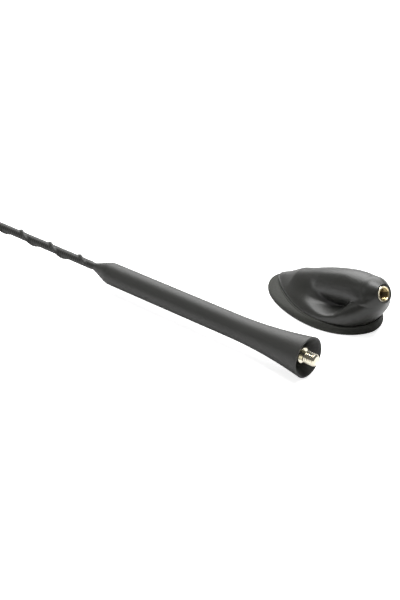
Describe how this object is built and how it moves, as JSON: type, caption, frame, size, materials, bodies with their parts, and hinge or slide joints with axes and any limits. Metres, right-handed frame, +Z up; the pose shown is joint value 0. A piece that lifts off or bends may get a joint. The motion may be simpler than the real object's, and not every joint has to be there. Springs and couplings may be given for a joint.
{
  "type": "car roof antenna",
  "caption": "Car roof antenna: a finned teardrop base with a sloping threaded socket, and its spiral-ribbed whip mast unscrewed and lying beside it.",
  "frame": {"origin": "centre of the fixing thread's mouth, in the plane of the roof under the base", "axes": "+X along the base towards the end with the mast socket, +Z up away from the roof; the mast lies beside the base on its -Y side"},
  "size_m": [0.5471, 0.1678, 0.0295],
  "materials": {
    "housing_plastic": "fine satin moulding",
    "gasket_rubber": "fine matt grain",
    "insert_brass": "turned",
    "plate_zinc": "die cast",
    "ring_steel": "plated",
    "screw_steel": "plated",
    "board_laminate": "green lacquer",
    "can_tin": "tinned",
    "coil_copper": "bare copper",
    "strap_brass": "spring strip",
    "lead_brass": "turned",
    "white_plastic": "natural",
    "boot_rubber": "satin moulding",
    "stud_brass": "pale plated brass",
    "core_glass_fibre": "glass-fibre rod",
    "sheath_rubber": "close ribs from the wire below"
  },
  "bodies": {
    "root": {"base_housing": "housing_plastic", "base_gasket": "gasket_rubber", "mast_socket_insert": "insert_brass", "base_plate": "plate_zinc", "earth_ring": "ring_steel", "front_screw": "screw_steel", "rear_screw": "screw_steel", "circuit_board": "board_laminate", "board_screw_front": "screw_steel", "board_screw_rear": "screw_steel", "shield_can": "can_tin", "matching_coil": "coil_copper", "feed_strap": "strap_brass", "lead_shell": "lead_brass", "lead_insulator": "white_plastic", "lead_pin": "lead_brass", "mast_boot": "boot_rubber", "mast_stud": "stud_brass", "mast_ferrule": "insert_brass", "mast_core": "core_glass_fibre", "mast_winding": "coil_copper", "mast_sheath": "sheath_rubber", "noise_spiral": "sheath_rubber", "tip_cap": "boot_rubber"}
  },
  "joints": []
}
